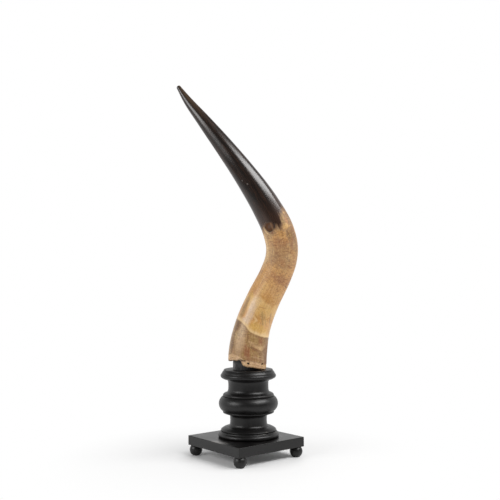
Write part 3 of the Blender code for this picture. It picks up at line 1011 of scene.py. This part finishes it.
class OBJECT_OT_turned_column(bpy.types.Operator):
    """Add the turned column"""

    bl_idname = "object.turned_column"
    bl_label = "Turned Column"

    def execute(self, context):
        settings = context.scene.ox_stand
        profile = [(0, COLUMN_LOW.z)]
        for row in MOULDINGS:
            *ends, bulge = [value / 1000 for value in row]
            low, high = ends[:2], ends[2:]
            steps = ceil((Vector(high) - Vector(low)).length / ARC_STEP)
            profile += bow(low, high, bulge, steps) if bulge else [low, high]
        bm = spun(profile + [(CAP_RADIUS, CAP_TOP), (0, CAP_TOP)], COLUMN_SIDES)
        soften(bm, radians(24), settings.moulding_edge)
        add_piece("black_column", bm, stain_finish("column_stain", settings, "Z"),
                  "turned_column", COLUMN_SPOT)
        return {"FINISHED"}


class OBJECT_OT_square_board(bpy.types.Operator):
    """Add the square board"""

    bl_idname = "object.square_board"
    bl_label = "Square Board"

    def execute(self, context):
        settings = context.scene.ox_stand
        size = PLATE_HIGH - PLATE_LOW
        bm = bmesh.new()
        bmesh.ops.create_cube(bm, size=1)
        bmesh.ops.scale(bm, vec=size, verts=bm.verts)
        bmesh.ops.bevel(bm, geom=bm.edges, affect="EDGES", offset=settings.board_edge,
                        segments=4, profile=0.5, material=-1)
        # Cuts beside every edge keep the rubbed colour there
        for axis in range(3):
            across = Vector([float(place == axis) for place in range(3)])
            for inset in BOARD_CUTS:
                for side in (-1, 1):
                    bmesh.ops.bisect_plane(bm, geom=bm.verts[:] + bm.edges[:] + bm.faces[:],
                                           plane_co=across * side * (size[axis] / 2 - inset),
                                           plane_no=across, dist=0.000001)
        add_piece("black_board", bm, stain_finish("board_stain", settings, "X", 0.25, 0.32),
                  "base_plate", Matrix.Translation(PLATE_CENTRE))
        return {"FINISHED"}


class OBJECT_OT_ball_feet(bpy.types.Operator):
    """Add the four turned ball feet"""

    bl_idname = "object.ball_feet"
    bl_label = "Ball Feet"

    def execute(self, context):
        settings = context.scene.ox_stand
        radius, middle = settings.foot_radius, settings.foot_middle
        finish = stain_finish("foot_stain", settings, "Z")
        lowest, highest = [atan2(rise, sqrt(radius ** 2 - rise ** 2))
                           for rise in (-middle, FOOT_HIGH.z - middle)]
        profile = [(radius * cos(angle), middle + radius * sin(angle))
                   for angle in np.linspace(lowest, highest, FOOT_RINGS)]
        profile = [(0, profile[0][1]), *profile, (0, profile[-1][1])]
        for node in ("foot_front", "foot_left", "foot_right", "foot_back"):
            bm = spun(profile, FOOT_SIDES)
            soften(bm, radians(30), settings.moulding_edge)
            add_piece("ball_" + node, bm, finish, node, spot(node))
        return {"FINISHED"}


class SCENE_OT_horn_studio(bpy.types.Operator):
    """Add the floor, the softboxes, the white surroundings and the camera"""

    bl_idname = "scene.horn_studio"
    bl_label = "Horn Studio"

    def execute(self, context):
        scene, settings = context.scene, context.scene.ox_studio
        self.add_floor(settings)
        self.add_camera(scene, settings)
        for side, box in SOFTBOXES.items():
            self.add_softbox(side, *box, getattr(settings, side + "_strength"))
        self.paint_world(scene)
        scene.view_settings.view_transform = "Standard"
        return {"FINISHED"}

    def add_floor(self, settings):
        bm = bmesh.new()
        bmesh.ops.create_circle(bm, cap_ends=True, segments=FLOOR_SIDES,
                                radius=settings.floor_radius)
        mesh = bpy.data.meshes.new("floor")
        bm.to_mesh(mesh)
        bm.free()
        f = Finish(bpy.data.materials.new("floor"))
        away = f.node("VectorMath", {0: f.place()}, "Value", operation="LENGTH")
        lit = f.node("BsdfPrincipled", {"Base Color": (*settings.floor_colour, 1),
                                        "Roughness": 0.6})
        plain = f.node("Emission", {"Color": WHITE, "Strength": 1})
        glow = f.between(away, 0.08, 0.11) * 0.42 + f.between(away, 0.10, 0.32) * 0.54 + 0.04
        both = f.node("MixShader", {0: glow, 1: lit, 2: plain})
        f.node("OutputMaterial", {"Surface": both})
        mesh.materials.append(f.owner)
        linked("floor", mesh)

    def add_camera(self, scene, settings):
        scene.camera = camera = linked("camera", bpy.data.cameras.new("camera"))
        camera.data.sensor_width = SENSOR_WIDTH
        camera.data.lens = settings.lens
        stand = Matrix.Translation((settings.camera_side, -settings.camera_distance,
                                    settings.camera_height))
        aim = Matrix.Rotation(radians(90) + settings.camera_pitch, 4, "X")
        roll = Matrix.Rotation(settings.camera_roll, 4, "Z")
        camera.matrix_world = HORN_AXES @ stand @ aim @ roll

    def add_softbox(self, side, degrees, rise, distance, width, height, radiance):
        light = bpy.data.lights.new("softbox_" + side, "AREA")
        light.shape = "RECTANGLE"
        light.size = width
        light.size_y = height
        light.energy = radiance * pi * width * height
        way = Vector((sin(radians(degrees)) * cos(radians(rise)),
                      -cos(radians(degrees)) * cos(radians(rise)), sin(radians(rise))))
        turn = (-way).to_track_quat("-Z", "Y").to_matrix().to_4x4()
        place = Matrix.Translation(SOFTBOX_AIM + way * distance)
        linked("softbox_" + side, light).matrix_world = HORN_AXES @ place @ turn

    def paint_world(self, scene):
        scene.world = bpy.data.worlds.new("studio")
        f = Finish(scene.world)
        ray = f.node("LightPath", {}, "Is Camera Ray")
        way = f.place("Generated")
        behind = f.dot(way, [-part for part in VIEW_FRONT])
        glow = f.between(behind, -0.35, 0.35) * f.between(f.part(way, "Z"), 0.75, 0.35) * 0.75
        plain = f.node("Background", {"Color": WHITE, "Strength": 1})
        seen = f.node("Background", {"Color": WHITE, "Strength": glow + 0.15})
        both = f.node("MixShader", {0: ray, 1: seen, 2: plain})
        f.node("OutputWorld", {"Surface": both})


class VIEW3D_PT_ox_horn(bpy.types.Panel):
    """The horn's pieces and settings"""

    bl_idname = "VIEW3D_PT_ox_horn"
    bl_label = "Ox Horn"
    bl_space_type = "VIEW_3D"
    bl_region_type = "UI"
    bl_category = "Ox Horn"

    def draw(self, context):
        for operator in OPERATORS:
            self.layout.operator(operator.bl_idname)
        for group, kind in GROUPS.items():
            box = self.layout.box()
            for name in kind.__annotations__:
                box.prop(getattr(context.scene, group), name)


OPERATORS = (
    SCENE_OT_horn_studio,
    OBJECT_OT_square_board,
    OBJECT_OT_ball_feet,
    OBJECT_OT_turned_column,
    OBJECT_OT_horn_peg,
    OBJECT_OT_ox_horn,
)
GROUPS = {"ox_horn": HornSettings, "ox_stand": StandSettings, "ox_studio": StudioSettings}
CLASSES = (*GROUPS.values(), *OPERATORS, VIEW3D_PT_ox_horn)


def register():
    for kind in CLASSES:
        bpy.utils.register_class(kind)
    for group, kind in GROUPS.items():
        setattr(bpy.types.Scene, group, bpy.props.PointerProperty(type=kind))


def unregister():
    for group in GROUPS:
        delattr(bpy.types.Scene, group)
    for kind in reversed(CLASSES):
        bpy.utils.unregister_class(kind)


def main():
    register()
    bpy.ops.scene.horn_studio()
    bpy.ops.object.square_board()
    bpy.ops.object.ball_feet()
    bpy.ops.object.turned_column()
    bpy.ops.object.horn_peg()
    bpy.ops.object.ox_horn()


if __name__ == "__main__":
    main()
